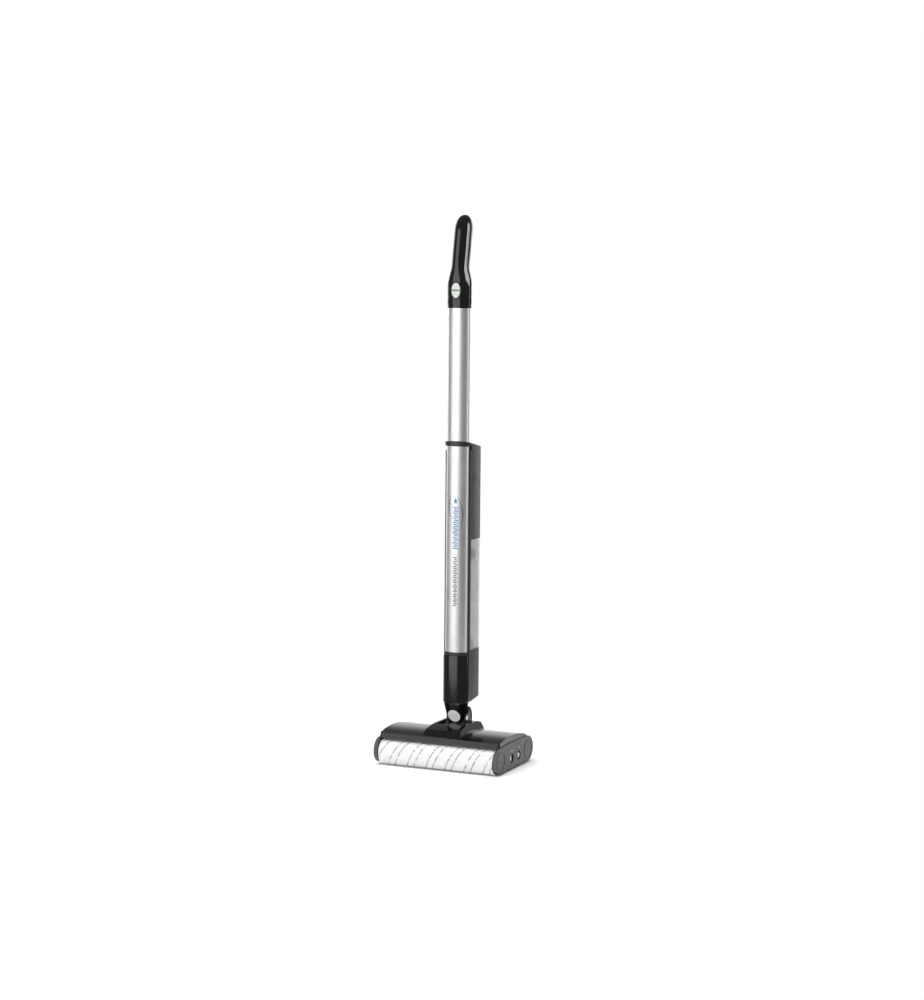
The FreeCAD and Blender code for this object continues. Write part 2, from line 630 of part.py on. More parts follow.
def lamp_point(out, turn=None):
    """A place out along the lamp's beam, on its axis or at a turn of the ring of LEDs."""
    down = math.radians(lamp_down)
    r = 0.0 if turn is None else led_ring
    across = r * math.cos(math.radians(turn or 0))
    up = r * math.sin(math.radians(turn or 0))
    y = lamp_front - up * math.sin(down) - out * math.cos(down)
    return (across, y, lamp_height + up * math.cos(down) - out * math.sin(down))


def stick_rear():
    y0 = spine_back + slack
    body = plan_prism(rear_steps(0, y0), lower_bottom, lower_top)
    cavity = plan_prism(rear_steps(-body_wall, y0 + body_wall), lower_bottom - 1, lower_top - body_wall)
    slope = side_prism([(y0 - 1, lower_bottom), (body_rear + 5, lower_bottom + 10.4), (body_rear + 5, 100),
                        (y0 - 1, 100)], -60, 60)
    floor = slope.copy()
    floor.translate(Vector(0, 0, body_wall))
    body = body.cut(cavity.cut(floor)).cut(slope)
    heel = side_prism([(body_rear - 8, lower_bottom + 9.2), ((body_rear - 2.4, lower_bottom + 11.6),
                       (body_rear + 0.5, lower_bottom + 18)), (body_rear + 5, 120), (body_rear - 8, 120)],
                      -60, 60)
    body = body.cut(heel)
    body = body.cut(block(-24.4, 24.4, 0, 16.4, 100, 150.4))
    body = body.cut(rod((0, body_rear - 14, jack_height), (0, 1, 0), 6.0, 20))
    body = body.fuse(tube((0, body_rear - 11, jack_height), (0, 1, 0), 8.0, 6.0, 10.6))
    for x in (-18, 18):
        body = body.cut(rod((x, 40, 120), (0, 0, 1), screw_head_radius + slack, lower_bottom + 7.0 - 118.2))
    save_stick("lower_rear_housing", body)

    jack = rod((0, body_rear - 12, jack_height), (0, 1, 0), 5.6, 11.4)
    jack = jack.cut(rod((0, body_rear - 0.6 - jack_depth, jack_height), (0, 1, 0), jack_radius, 20))
    save_stick("charging_socket", jack)

    def spot(x):
        return rod((x, 40, lower_bottom + 6.4), (0, 0, 1), screw_head_radius, 2.6)
    save_stick("housing_screws", spot(-18), spot(18))

    board = block(-22, 22, 8.5, 10.1, lower_bottom + 21, lower_top - 13.7)
    chip = block(-9, 9, 9, 14, lower_bottom + 35, lower_bottom + 51)
    relay = block(-15, 3, 9, 17, lower_bottom + 61, lower_bottom + 87)
    save_stick("control_board", fused([board, chip, relay]))

    tank = plan_prism(rear_steps(0, y0), tank_bottom, tank_top)
    tank = tank.cut(plan_prism(rear_steps(-tank_wall, y0 + tank_wall), tank_bottom + tank_wall,
                               tank_top - tank_wall))
    tank = tank.fuse(rod((0, y0, tank_bottom + 18), (0, 1, 0), 6.5, 13))
    tank = tank.cut(rod((0, y0 - 1, tank_bottom + 18), (0, 1, 0), nipple_radius + running, 11.5))
    neck_tube = rod((0, body_rear - 9, filler_height), (0, 1, 0), filler_radius + 2.4, 8.4)
    tank = tank.fuse(neck_tube)
    tank = tank.cut(rod((0, body_rear - 20, filler_height), (0, 1, 0), filler_radius - 2.6, 40))
    tank = tank.cut(rod((0, body_rear - 5.5, filler_height), (0, 1, 0), filler_radius + slack, 20))
    save_stick("water_tank", tank.removeSplitter())

    cap = rod((0, body_rear - 4.6, filler_height), (0, 1, 0), filler_radius, 5.6)
    cap = cap.fuse(block(-filler_radius + 2.5, filler_radius - 2.5, body_rear + 0.5, body_rear + 4.4,
                         filler_height - 1.8, filler_height + 1.8))
    save_stick("filler_cap", cap.removeSplitter())
    save_stick("filler_seal", tube((0, body_rear - 5.4, filler_height), (0, 1, 0), filler_radius - 0.6,
                                   filler_radius - 2.4, 0.7))

    pack = plan_prism(rear_steps(0, y0), battery_bottom, battery_top)
    pack = pack.cut(plan_prism(rear_steps(-body_wall, y0 + body_wall), battery_bottom + body_wall,
                               battery_top - body_wall))
    pocket = block(-10.3, 10.3, body_rear - 6, body_rear + 5, latch_z - 6.3, latch_z + 6.3)
    pack = pack.cut(pocket)
    pack = pack.fuse(block(-12, 12, body_rear - 7.6, body_rear - 6, latch_z - 8, latch_z + 8))
    save_stick("battery_case", pack.removeSplitter())
    save_stick("battery_latch", block(-10, 10, body_rear - 5.6 + latch_travel, body_rear + 1.2,
                                      latch_z - 6, latch_z + 6))
    cells = []
    for row in range(2):
        for i in range(3):
            for level in range(2):
                z = battery_bottom + 14 + level * cell_step
                centre = ((i - 1) * cell_pitch, 19 + row * 19.0, z)
                cells.append(rod(centre, (0, 0, 1), cell_radius, cell_length))
    save_stick("battery_cells", *cells)

    pump = block(-13, 13, -11.5, -1.5, tank_bottom + 8, tank_bottom + 46)
    pump = pump.fuse(rod((0, -6.5, tank_bottom + 46), (0, 0, 1), 5.2, 26))
    pump = pump.fuse(rod((0, -3, tank_bottom + 18), (0, 1, 0), nipple_radius, 18)).removeSplitter()
    save_stick("water_pump", pump.cut(rod((0, -2, tank_bottom + 18), (0, 1, 0), 1.8, 20)))


def stick_top():
    y0 = spine_back + slack
    z0 = battery_top + slack
    rear = plan_prism(rear_steps(0, 0), z0, cap_top + 6)
    front = front_half(body_half_width, panel_depth + 1.0, panel_top + slack, cap_top + 6)
    cap = rear.fuse(front)
    lean = cap_slope * 100
    over = side_prism([(-100, cap_top + lean), (100, cap_top - lean), (100, cap_top + 90),
                       (-100, cap_top + 90)], -60, 60)
    cap = cap.cut(over)
    cap = cap.cut(plan_prism(rear_steps(-body_wall, 22), z0 - 1, z0 + 1.0))
    out_x = tube_half_width - tube_wall - slack
    out_y = tube_half_depth - tube_wall - slack
    cap = cap.cut(column(out_x + slack, out_y + slack, z0 - 5, cap_top + 20))
    cap = cap.cut(column(tube_half_width + slack, tube_half_depth + slack, cap_top - 5, cap_top + 20))
    cap = cap.cut(block(-body_half_width - 1, body_half_width + 1, -1, y0, z0 - 5, panel_top + slack))
    save_stick("top_cap", cap.removeSplitter())

    pole = column(tube_half_width, tube_half_depth, cap_top - 4.5, tube_end)
    pole = pole.cut(column(tube_half_width - tube_wall, tube_half_depth - tube_wall, battery_top,
                           tube_end + 80))
    save_stick("pole_tube", pole)


# ---------------------------------------------------------------- handle
def ease(t):
    t = min(1.0, max(0.0, t))
    return t * t * (3 - 2 * t)


def handle_form(inset):
    """The outside of the handle, or of a form lying inset below it: one loft from the socket to the dome."""
    rings = []
    heights = [handle_bottom + i * 9.5 for i in range(6)]
    heights += [handle_bend + i * 8.0 for i in range(15)]
    for z in heights:
        t = ease((z - handle_bend + 4) / 42.0)
        w = handle_half_width + (grip_half_width - handle_half_width) * t
        d = handle_half_depth + (grip_half_depth - handle_half_depth) * ease((z - handle_bend) / 60.0)
        rings.append((w - inset, d - inset, grip_shift(z), z))
    w, d, y, z = rings[-1]
    top = handle_top - inset
    for i in range(1, 7):
        a = math.radians(i * 14.0)
        zi = z + (top - z) * math.sin(a)
        rings.append((w * math.cos(a) ** 0.9, d * math.cos(a) ** 0.9, grip_shift(zi), zi))
    return Part.makeLoft([ring(a, b, c, z) for a, b, c, z in rings], True, False)


def grip_shift(z):
    """How far back the grip's axis has leaned at height z."""
    run = z - (handle_bend - 4)
    if run <= 0:
        return 0.0
    bend = 40.0
    slope = math.tan(math.radians(grip_lean))
    if run < bend:
        return slope * run * run / (2 * bend)
    return slope * (run - bend / 2)


def stripe(x0, x1, grow):
    """Path of the side inlay, seen from the side: a band that ends in a hooked point low down."""
    g = grow
    low = handle_bottom + 46
    points = [(-6.0, low - 8 * g), (-11.8 - g, low + 14), (-11.2 - g, low + 34), (-4.5 - g, low + 74),
              (6.0 - g, low + 132), (10.5, low + 139 + g), (12.6 + g, low + 133), (2.0 + g, low + 73),
              (-4.6 + g, low + 34), (-5.2 + g, low + 16)]
    return side_prism(points, x0, x1)


def handle():
    outer, inner = handle_form(0), handle_form(handle_wall)
    skin = handle_form(1.3)
    grip = outer.cut(inner)
    grip = grip.cut(column(tube_half_width + slack, tube_half_depth + slack, handle_bottom - 90,
                           tube_end + slack))
    bezel_zone = facing(bezel_half[0] + slack, bezel_half[1] + slack, button_z, -30, -8)
    grip = grip.cut(bezel_zone)
    band = outer.cut(skin)
    groove = stripe(4, 40, slack)
    groove = groove.fuse(mirrored(groove))
    grip = grip.cut(band.common(groove))
    parting = side_prism([(-40, handle_bottom - 90), (2, handle_bottom - 90), (2, handle_bend),
                          (27, handle_top + 20), (-40, handle_top + 20)], -60, 60)
    gap = parting.copy()
    gap.translate(Vector(0, slack, 0))
    screws = []
    for z in (handle_bottom + 22, handle_bottom + 48):
        screws.append(rod((0, handle_half_depth - 1.6, z), (0, 1, 0), screw_head_radius - 0.4, 1.4))
        grip = grip.cut(rod((0, handle_half_depth - 1.8, z), (0, 1, 0), screw_head_radius - 0.1, 6))
    save_stick("handle_screws", *screws)
    save_stick("handle_front_shell", grip.common(parting))
    save_stick("handle_rear_shell", grip.cut(gap))
    right = outer.cut(handle_form(1.3 - running)).common(stripe(4, 40, 0))
    save_stick("right_grip_inlay", right)
    save_stick("left_grip_inlay", mirrored(right))

    bezel = facing(bezel_half[0], bezel_half[1], button_z, -handle_half_depth - 1.2, -13.2)
    hole = facing(button_half[0] + slack, button_half[1] + slack, button_z, -30, -14.6)
    save_stick("button_bezel", bezel.cut(hole))
    face = facing(button_half[0], button_half[1], button_z, -handle_half_depth - 1.8,
                  -14.6 - press_travel - 0.2)
    bar = block(-button_half[0] - 1, button_half[0] + 1, -30, 0, button_z - 1.7, button_z + 1.7)
    halves = sorted(face.cut(bar).Solids, key=lambda s: s.CenterOfMass.z)
    save_stick("spray_button", halves[0])
    save_stick("power_button", halves[1])
    save_stick("indicator_strip", block(-button_half[0] + 0.6, button_half[0] - 0.6, -handle_half_depth - 1.5,
                                        -14.6, button_z - 1.3, button_z + 1.3))


head_chassis()
head_shells()
head_inside()
rollers()
drawer()
neck()
stick_frame()
stick_front()
stick_rear()
stick_top()
handle()

os.makedirs("parts", exist_ok=True)
for node, shape in made.items():
    shape.exportStep("parts/" + node + ".step")
print(len(made), "pieces")
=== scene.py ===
"""Cordless wet and dry floor scrubber: finishes, eased edges, roller pile, small fittings, light and camera.

Metres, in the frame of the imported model: origin on the floor below the head, -Y the front, +X the drawer end.
Fittings on the stick are placed in the stick's own upright frame and leaned with it by on_stick().
"""
import bmesh
import bpy
import json
import math
from mathutils import Matrix, Vector


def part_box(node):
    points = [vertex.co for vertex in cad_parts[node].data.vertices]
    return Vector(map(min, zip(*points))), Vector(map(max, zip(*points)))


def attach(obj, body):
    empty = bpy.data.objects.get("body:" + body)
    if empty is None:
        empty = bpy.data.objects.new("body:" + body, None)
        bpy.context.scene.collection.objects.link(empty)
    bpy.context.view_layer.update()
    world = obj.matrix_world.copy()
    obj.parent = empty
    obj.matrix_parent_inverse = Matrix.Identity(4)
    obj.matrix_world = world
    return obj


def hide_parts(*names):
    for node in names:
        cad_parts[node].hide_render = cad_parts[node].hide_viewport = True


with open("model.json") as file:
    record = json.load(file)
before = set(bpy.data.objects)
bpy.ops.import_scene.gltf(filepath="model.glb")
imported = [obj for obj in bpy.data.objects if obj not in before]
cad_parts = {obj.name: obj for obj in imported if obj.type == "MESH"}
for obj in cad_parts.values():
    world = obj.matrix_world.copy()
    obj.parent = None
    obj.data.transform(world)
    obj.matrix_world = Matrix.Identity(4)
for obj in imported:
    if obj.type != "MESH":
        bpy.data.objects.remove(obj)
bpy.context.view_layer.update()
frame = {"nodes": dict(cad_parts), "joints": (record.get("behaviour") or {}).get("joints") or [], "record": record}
nodes = frame["nodes"]
MM = 0.001

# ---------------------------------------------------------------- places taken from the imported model
joint_at = {j["name"]: Vector(j.get("pos_m", (0, 0, 0))) for j in frame["joints"]}
slide_dir = [Vector(j["axis"]) for j in frame["joints"] if j["name"] == "tank_slide"][0]
PARK_LEAN = math.atan2(-slide_dir.z, slide_dir.y)
TILT = joint_at["tilt"]
PIN_BEHIND_PANEL = 9.0 * MM
STICK_Y = TILT.y - PIN_BEHIND_PANEL
ROLLER_R = (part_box("front_roller_sleeve")[1].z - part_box("front_roller_sleeve")[0].z) / 2


def on_stick(x, y, z):
    """A place given in millimetres in the upright stick frame, moved to the leaning stick."""
    flat = Vector((x * MM, STICK_Y + y * MM, z * MM))
    turn = Matrix.Rotation(-PARK_LEAN, 3, "X")
    return TILT + turn @ (flat - TILT)


def stick_box(node):
    """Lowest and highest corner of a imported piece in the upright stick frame, in millimetres."""
    turn = Matrix.Rotation(PARK_LEAN, 3, "X")
    foot = Vector((0, STICK_Y, 0))
    places = [(TILT + turn @ (v.co - TILT) - foot) / MM for v in nodes[node].data.vertices]
    return [Vector([pick(p[i] for p in places) for i in range(3)]) for pick in (min, max)]


PANEL_LOW, PANEL_HIGH = stick_box("front_panel")
BATTERY_HIGH = stick_box("battery_case")[1]
LATCH_LOW, LATCH_HIGH = stick_box("battery_latch")
TANK_LOW, TANK_HIGH = stick_box("water_tank")
HOUSING_HIGH = stick_box("lower_rear_housing")[1]
BASE_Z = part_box("head_chassis")[0].z / MM


# ---------------------------------------------------------------- finishes
def new_tree(name):
    """An empty material with a principled surface wired to its output."""
    mat = bpy.data.materials.new(name)
    mat.use_nodes = True
    tree = mat.node_tree
    tree.nodes.clear()
    out = tree.nodes.new("ShaderNodeOutputMaterial")
    skin = tree.nodes.new("ShaderNodeBsdfPrincipled")
    tree.links.new(skin.outputs["BSDF"], out.inputs["Surface"])
    return mat, tree, skin


def noise(tree, scale, detail=3.0, stretch=(1, 1, 1)):
    """Noise in object space; stretch under 1 draws it out along that axis."""
    place = tree.nodes.new("ShaderNodeTexCoord")
    turn = tree.nodes.new("ShaderNodeMapping")
    turn.inputs["Scale"].default_value = stretch
    tree.links.new(place.outputs["Object"], turn.inputs["Vector"])
    tex = tree.nodes.new("ShaderNodeTexNoise")
    tex.inputs["Scale"].default_value = scale
    tex.inputs["Detail"].default_value = detail
    tree.links.new(turn.outputs["Vector"], tex.inputs["Vector"])
    return tex.outputs["Fac"]


def ranged(tree, value, low, high):
    """Spreads the middle of a noise over low to high."""
    node = tree.nodes.new("ShaderNodeMapRange")
    node.inputs["From Min"].default_value = 0.3
    node.inputs["From Max"].default_value = 0.7
    node.inputs["To Min"].default_value = low
    node.inputs["To Max"].default_value = high
    tree.links.new(value, node.inputs["Value"])
    return node.outputs["Result"]


def two_tone(tree, value, dark, light):
    """A colour between dark and light."""
    mix = tree.nodes.new("ShaderNodeMix")
    mix.data_type = "RGBA"
    mix.inputs["A"].default_value = (*dark, 1)
    mix.inputs["B"].default_value = (*light, 1)
    tree.links.new(value, mix.inputs["Factor"])
    return mix.outputs["Result"]


def bumped(tree, skin, value, strength, depth):
    """Raises the surface by value, depth in metres."""
    bump = tree.nodes.new("ShaderNodeBump")
    bump.inputs["Strength"].default_value = strength
    bump.inputs["Distance"].default_value = depth
    tree.links.new(value, bump.inputs["Height"])
    tree.links.new(bump.outputs["Normal"], skin.inputs["Normal"])


def finish(name, color, rough, spread=0.08, rough_spread=0.12, grain=900.0, grain_depth=0.02,
           grain_strength=0.3, stretch=(1, 1, 1), metal=0.0, coat=0.0, coat_rough=0.05, cloud=14.0):
    """A moulded, painted or machined surface: faint clouding, uneven sheen and a fine grain."""
    mat, tree, skin = new_tree(name)
    cloudy = noise(tree, cloud, 4.0)
    dark = [c * (1 - spread) for c in color]
    light = [min(1.0, c * (1 + spread)) for c in color]
    tree.links.new(two_tone(tree, ranged(tree, cloudy, 0, 1), dark, light), skin.inputs["Base Color"])
    low, high = rough * (1 - rough_spread), rough * (1 + rough_spread)
    tree.links.new(ranged(tree, noise(tree, cloud * 2.3, 5.0), low, high), skin.inputs["Roughness"])
    bumped(tree, skin, noise(tree, grain, 2.0, stretch), grain_strength, grain_depth * MM)
    skin.inputs["Metallic"].default_value = metal
    skin.inputs["Coat Weight"].default_value = coat
    skin.inputs["Coat Roughness"].default_value = coat_rough
    return mat


def clear_finish(name, color, rough, alpha, glow=0.0):
    """Smoked or frosted see-through plastic; glow adds a faint painted brightness, not lamp light."""
    mat, tree, skin = new_tree(name)
    cloudy = ranged(tree, noise(tree, 20.0, 3.0), 0, 1)
    tree.links.new(two_tone(tree, cloudy, [c * 0.94 for c in color], color), skin.inputs["Base Color"])
    tree.links.new(ranged(tree, noise(tree, 60.0, 4.0), rough * 0.85, rough * 1.15), skin.inputs["Roughness"])
    bumped(tree, skin, noise(tree, 500.0, 2.0), 0.12, 0.02 * MM)
    skin.inputs["Alpha"].default_value = alpha
    skin.inputs["Emission Color"].default_value = (1, 1, 1, 1)
    skin.inputs["Emission Strength"].default_value = glow
    skin.inputs["IOR"].default_value = 1.5
    skin.inputs["Specular IOR Level"].default_value = 0.6
    return mat


def lit_finish(name, color, strength):
    """A plastic that is lit from behind."""
    mat, tree, skin = new_tree(name)
    glow = two_tone(tree, ranged(tree, noise(tree, 90.0, 2.0), 0, 1), [c * 0.8 for c in color], color)
    tree.links.new(glow, skin.inputs["Base Color"])
    tree.links.new(glow, skin.inputs["Emission Color"])
    skin.inputs["Emission Strength"].default_value = strength
    skin.inputs["Roughness"].default_value = 0.35
    return mat


def chain(tree, kind, first, second=None):
    """One maths step; a number is set on the socket, a link is linked."""
    node = tree.nodes.new("ShaderNodeMath")
    node.operation = kind
    for socket, value in zip(node.inputs, (first, second)):
        if isinstance(value, (int, float)):
            socket.default_value = value
        elif value is not None:
            tree.links.new(value, socket)
    return node.outputs["Value"]


STRIPE_PITCH = 45.4 * MM
STRIPE_PAIR = 0.352
STRIPE_WIDE = 0.037


def microfibre(name, axis_y, axis_z, start):
    """White pile with thin grey yarns that wind round the roller in pairs."""
    mat, tree, skin = new_tree(name)
    place = tree.nodes.new("ShaderNodeTexCoord")
    split = tree.nodes.new("ShaderNodeSeparateXYZ")
    tree.links.new(place.outputs["Object"], split.inputs["Vector"])
    up = chain(tree, "SUBTRACT", split.outputs["Z"], axis_z)
    ahead = chain(tree, "SUBTRACT", axis_y, split.outputs["Y"])
    turn = chain(tree, "DIVIDE", chain(tree, "ARCTAN2", up, ahead), math.pi)
    along = chain(tree, "DIVIDE", chain(tree, "ADD", split.outputs["X"], start), STRIPE_PITCH)
    wobble = chain(tree, "MULTIPLY", chain(tree, "SUBTRACT", noise(tree, 160.0, 4.0), 0.5), 0.055)
    phase = chain(tree, "ADD", chain(tree, "SUBTRACT", along, turn), wobble)
    bands = []
    for shift in (0.25, 0.25 + STRIPE_PAIR):
        turned = chain(tree, "FRACT", chain(tree, "ADD", phase, 10.0 - shift))
        away = chain(tree, "ABSOLUTE", chain(tree, "SUBTRACT", turned, 0.5))
        bands.append(chain(tree, "LESS_THAN", away, STRIPE_WIDE))
    stripe = chain(tree, "MAXIMUM", *bands)
    broken = chain(tree, "GREATER_THAN", noise(tree, 380.0, 3.0), 0.485)
    stripe = chain(tree, "MULTIPLY", stripe, broken)
    fluff = ranged(tree, noise(tree, 700.0, 3.0), 0, 1)
    pile = two_tone(tree, fluff, (0.84, 0.84, 0.84), (0.97, 0.97, 0.97))
    mix = tree.nodes.new("ShaderNodeMix")
    mix.data_type = "RGBA"
    mix.inputs["B"].default_value = (0.30, 0.30, 0.31, 1)
    tree.links.new(stripe, mix.inputs["Factor"])
    tree.links.new(pile, mix.inputs["A"])
    tree.links.new(mix.outputs["Result"], skin.inputs["Base Color"])
    bumped(tree, skin, noise(tree, 1500.0, 3.0), 0.5, 0.15 * MM)
    skin.inputs["Roughness"].default_value = 0.95
    skin.inputs["Sheen Weight"].default_value = 0.35
    return mat


def make_finishes():
    spark = dict(grain=2600.0, grain_depth=0.035, grain_strength=0.45)
    polish = dict(grain=60.0, grain_depth=0.004, grain_strength=0.15, coat=0.15)
    brushed = dict(stretch=(1, 1, 0.012), grain=2600.0, grain_depth=0.006, grain_strength=0.4, metal=1.0)
    return {
        "gloss_black": finish("gloss_black", (0.004, 0.004, 0.0045), 0.10, **polish),
        "satin_dark": finish("satin_dark", (0.020, 0.020, 0.021), 0.38, **spark),
        "cap_grey": finish("cap_grey", (0.062, 0.062, 0.064), 0.42, **spark),
        "bumper_grey": finish("bumper_grey", (0.034, 0.034, 0.034), 0.42, **spark),
        "inner_black": finish("inner_black", (0.018, 0.018, 0.018), 0.5, **spark),
        "white_plastic": finish("white_plastic", (0.80, 0.80, 0.80), 0.32, spread=0.02, coat=0.3),
        "gear_white": finish("gear_white", (0.72, 0.70, 0.62), 0.4, spread=0.03),
        "silver_panel": finish("silver_panel", (0.82, 0.82, 0.83), 0.44, spread=0.02, **brushed),
        "pole_aluminium": finish("pole_aluminium", (0.84, 0.84, 0.85), 0.43, spread=0.02, **brushed),
        "steel": finish("steel", (0.55, 0.55, 0.56), 0.28, metal=1.0, grain=1400.0, grain_depth=0.006),
        "seal": finish("seal", (0.02, 0.02, 0.02), 0.65, **spark),
        "board_green": finish("board_green", (0.01, 0.12, 0.05), 0.4, spread=0.25, cloud=160.0),
        "cell": finish("cell", (0.05, 0.16, 0.35), 0.3, coat=0.4),
        # light grey inlay along the handle's side; its pale tone is partly a painted highlight of the studio light
        # along the handle
        "inlay": finish("inlay", (0.60, 0.60, 0.61), 0.30, spread=0.03, coat=0.3),
        "tank_clear": clear_finish("tank_clear", (0.66, 0.66, 0.67), 0.14, 0.42),
        # the lens glow is painted light: the lamp is off, and the faint glow only brightens the frosted face
        "lens": clear_finish("lens", (0.93, 0.94, 0.95), 0.2, 0.5, 0.14),
        "led": lit_finish("led", (0.22, 0.42, 0.16), 0.12),
        "motif_blue": finish("motif_blue", (0.08, 0.27, 0.56), 0.35, coat=0.3),
        "motif_line": finish("motif_line", (0.04, 0.11, 0.19), 0.35, coat=0.3),
        "motif_dark": finish("motif_dark", (0.05, 0.05, 0.06), 0.4, coat=0.2),
        "lamp_white": finish("lamp_white", (0.92, 0.92, 0.93), 0.3, coat=0.5),
    }


finishes = make_finishes()
slots = {s["node"]: s["material_slot"] for s in frame["record"]["subparts"]}
body_of = {n: b for b, group in frame["record"]["behaviour"]["bodies"].items() for n in group}


def dressed(obj, finish_name):
    """Gives a piece one finish."""
    obj.data.materials.clear()
    obj.data.materials.append(finishes[finish_name])


def smoothed(mesh, angle=32):
    """Smooth shading with the real corners kept crisp."""
    mesh.shade_smooth()
    mesh.set_sharp_from_angle(angle=math.radians(angle))


def placed(name, bm, body, finish_name, stands_for=()):
    """A new piece from bm, in metres, riding on body and standing for the named CAD pieces."""
    mesh = bpy.data.meshes.new(name)
    bm.to_mesh(mesh)
    bm.free()
    obj = bpy.data.objects.new(name, mesh)
    bpy.context.scene.collection.objects.link(obj)
    smoothed(mesh)
    dressed(obj, finish_name)
    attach(obj, body)
    if stands_for:
        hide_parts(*stands_for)
    return obj


def merged(node):
    """The CAD piece as one closed mesh with its flat faces whole."""
    bm = bmesh.new()
    bm.from_mesh(nodes[node].data)
    bmesh.ops.remove_doubles(bm, verts=bm.verts, dist=2e-6)
    bmesh.ops.dissolve_limit(bm, angle_limit=math.radians(0.8), verts=bm.verts, edges=bm.edges)
    return bm


def eased(node, width, segments=2, angle=35, finish_name=None):
    """The CAD piece with its mould edges eased by width millimetres."""
    bm = merged(node)
    edges = [e for e in bm.edges if len(e.link_faces) == 2 and e.calc_face_angle(0) > math.radians(angle)]
    bmesh.ops.bevel(bm, geom=edges, offset=width * MM, segments=segments, profile=0.55, affect="EDGES",
                    clamp_overlap=True)
    bmesh.ops.triangulate(bm, faces=[f for f in bm.faces if len(f.verts) > 4])
    obj = placed(node + "_moulded", bm, body_of[node], finish_name or slots[node], (node,))
    evened(obj)
    return obj


def evened(obj):
    """Lets the large faces keep flat highlights right up to their eased edges."""
    even = obj.modifiers.new("even", "WEIGHTED_NORMAL")
    even.keep_sharp = True
    even.weight = 90
    bpy.context.view_layer.update()
    mesh = bpy.data.meshes.new_from_object(obj.evaluated_get(bpy.context.evaluated_depsgraph_get()))
    obj.modifiers.clear()
    mesh.name = obj.name
    obj.data = mesh


# ---------------------------------------------------------------- pieces that keep the CAD shape
for node, obj in nodes.items():
    if slots[node] in finishes:
        dressed(obj, slots[node])
    smoothed(obj.data)

EASED_WIDTH = {
    "head_cover": 0.7, "front_bumper": 0.5, "left_end_cap": 1.4, "drawer_end_cap": 0.6, "saddle": 1.2,
    "neck_yoke": 0.8, "top_cap": 0.9, "lower_collar": 0.4, "battery_case": 0.8, "water_tank": 0.8,
    "battery_latch": 0.6, "filler_cap": 0.7, "front_panel": 0.3, "button_bezel": 0.5, "power_button": 0.7,
    "spray_button": 0.7, "front_release_tab": 0.4, "rear_release_tab": 0.4, "lower_rear_housing": 0.7,
    "lower_front_housing": 0.5}
for node, width in EASED_WIDTH.items():
    eased(node, width)


# ---------------------------------------------------------------- roller pile
def pile_tree():
    """Scatters short tufts over a sleeve: named sizes, fixed seed, realised and given their finish."""
    tree = bpy.data.node_groups.new("roller_pile", "GeometryNodeTree")
    face = tree.interface
    face.new_socket("Geometry", in_out="INPUT", socket_type="NodeSocketGeometry")
    for name, kind, value in (("Tufts per square metre", "NodeSocketFloat", 850000.0),
                              ("Tuft length", "NodeSocketFloat", 1.7 * MM),
                              ("Tuft radius", "NodeSocketFloat", 0.55 * MM),
                              ("Untidiness", "NodeSocketFloat", 0.55), ("Seed", "NodeSocketInt", 7),
                              ("Finish", "NodeSocketMaterial", None)):
        socket = face.new_socket(name, in_out="INPUT", socket_type=kind)
        if value is not None:
            socket.default_value = value
    face.new_socket("Geometry", in_out="OUTPUT", socket_type="NodeSocketGeometry")
    new, link = tree.nodes.new, tree.links.new
    given, out = new("NodeGroupInput"), new("NodeGroupOutput")
    spread = new("GeometryNodeDistributePointsOnFaces")
    link(given.outputs["Geometry"], spread.inputs["Mesh"])
    link(given.outputs["Tufts per square metre"], spread.inputs["Density"])
    link(given.outputs["Seed"], spread.inputs["Seed"])
    cone = new("GeometryNodeMeshCone")
    cone.fill_type = "NONE"
    cone.inputs["Vertices"].default_value = 4
    cone.inputs["Radius Top"].default_value = 0.12 * MM
    link(given.outputs["Tuft radius"], cone.inputs["Radius Bottom"])
    link(given.outputs["Tuft length"], cone.inputs["Depth"])
    lean = new("FunctionNodeRandomValue")
    lean.data_type = "FLOAT_VECTOR"
    lean.inputs["Min"].default_value = (-1, -1, -3.1)
    lean.inputs["Max"].default_value = (1, 1, 3.1)
    link(given.outputs["Seed"], lean.inputs["Seed"])
    scaled = new("ShaderNodeVectorMath")
    scaled.operation = "SCALE"
    link(lean.outputs["Value"], scaled.inputs[0])
    link(given.outputs["Untidiness"], scaled.inputs["Scale"])
    turned = new("FunctionNodeRotateRotation")
    turned.rotation_space = "LOCAL"
    link(spread.outputs["Rotation"], turned.inputs["Rotation"])
    link(scaled.outputs["Vector"], turned.inputs["Rotate By"])
    size = new("FunctionNodeRandomValue")
    size.inputs[2].default_value = 0.65
    size.inputs[3].default_value = 1.0
    put = new("GeometryNodeInstanceOnPoints")
    link(spread.outputs["Points"], put.inputs["Points"])
    link(cone.outputs["Mesh"], put.inputs["Instance"])
    link(turned.outputs["Rotation"], put.inputs["Rotation"])
    link(size.outputs[1], put.inputs["Scale"])
    join = new("GeometryNodeJoinGeometry")
    real = new("GeometryNodeRealizeInstances")
    coat = new("GeometryNodeSetMaterial")
    link(put.outputs["Instances"], join.inputs["Geometry"])
    link(given.outputs["Geometry"], join.inputs["Geometry"])
    link(join.outputs["Geometry"], real.inputs["Geometry"])
    link(real.outputs["Geometry"], coat.inputs["Geometry"])
    link(given.outputs["Finish"], coat.inputs["Material"])
    link(coat.outputs["Geometry"], out.inputs["Geometry"])
    return tree


